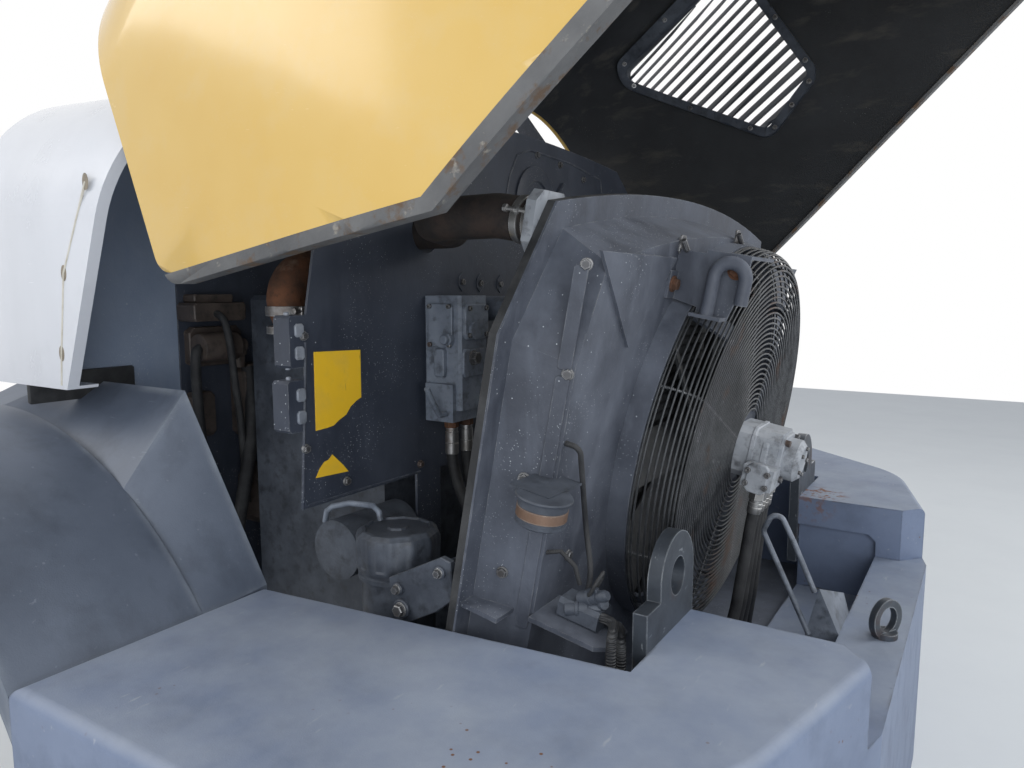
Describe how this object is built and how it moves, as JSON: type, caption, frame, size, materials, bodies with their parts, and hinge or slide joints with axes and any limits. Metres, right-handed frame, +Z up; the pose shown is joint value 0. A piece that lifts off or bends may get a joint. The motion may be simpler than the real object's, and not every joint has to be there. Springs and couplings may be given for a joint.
{
  "type": "wheel loader rear engine section",
  "caption": "Rear section of a wheel loader with counterweight, raked cooling unit with fan, raised bonnet and cowl.",
  "frame": {"origin": "centre of the chassis flange's four bolt holes, on its front face", "axes": "+X forward, +Y to the machine's left, +Z up"},
  "size_m": [2.0001, 2.4, 2.4377],
  "materials": {
    "bonnet_yellow": "glossy yellow paint",
    "liner_black": "matt foam",
    "trim_grey": "dusty",
    "cowl_white": "glossy",
    "weight_grey": "satin paint",
    "chassis_dark": "satin paint",
    "sheet_black": "dusty satin paint",
    "fender_grey": "scuffed",
    "bare_steel": "worn",
    "alloy": "dirty cast",
    "core_dark": "finned",
    "hose_black": "smooth",
    "rusty": "rusty",
    "fan_plastic": "moulded",
    "cast_iron_dark": "oily paint"
  },
  "bodies": {
    "bonnet": {"bonnet_side_left": "bonnet_yellow", "bonnet_side_right": "bonnet_yellow", "bonnet_roof": "bonnet_yellow", "bonnet_tail": "bonnet_yellow", "bonnet_sill_left": "trim_grey", "bonnet_sill_right": "trim_grey", "bonnet_liner_left": "liner_black", "bonnet_liner_right": "liner_black", "bonnet_liner_roof": "liner_black", "bonnet_grille_left": "sheet_black", "bonnet_grille_right": "sheet_black", "hinge_arm_left": "chassis_dark", "hinge_arm_right": "chassis_dark"},
    "fan": {"fan": "fan_plastic"},
    "chassis": {"chassis_frame": "chassis_dark", "counterweight": "weight_grey", "coupling_bracket": "chassis_dark", "conduit_near": "hose_black", "conduit_far": "hose_black", "horn": "sheet_black", "horn_lead": "hose_black", "connector_block": "fan_plastic", "motor_hose_far": "hose_black", "lifting_eye_left": "bare_steel", "lifting_eye_right": "bare_steel", "ledge_ring": "bare_steel", "foot_plate": "chassis_dark", "partition": "sheet_black", "engine_block": "cast_iron_dark", "exhaust_elbow": "rusty", "charge_tube": "hose_black", "valve_block": "alloy", "valve_hose_rear": "hose_black", "valve_hose_front": "hose_black", "pipe_stub": "bare_steel", "filter_plate": "chassis_dark", "oil_filter": "sheet_black", "side_drum": "cast_iron_dark", "cowl": "cowl_white", "bulkhead": "fender_grey", "fender_left": "fender_grey", "fender_right": "fender_grey", "cooler_frame": "sheet_black", "cooler_seal": "liner_black", "cooler_core": "core_dark", "shroud_ring": "sheet_black", "fan_guard": "sheet_black", "motor_spider": "chassis_dark", "fan_motor": "alloy", "tube_flange": "alloy", "top_bracket": "chassis_dark", "motor_hose_left": "hose_black", "motor_hose_middle": "hose_black", "motor_hose_right": "hose_black"}
  },
  "joints": [
    {"name": "bonnet_hinge", "type": "hinge", "parent": "chassis", "child": "bonnet", "pos_m": [-0.362, 0, 1.267], "axis": [0, 1, 0], "range_deg": [-44.5, 0]},
    {"name": "fan_spin", "type": "hinge", "parent": "chassis", "child": "fan", "pos_m": [-1.5, 0, 0.63], "axis": [0.9839, 0, 0.1788], "continuous": true}
  ]
}
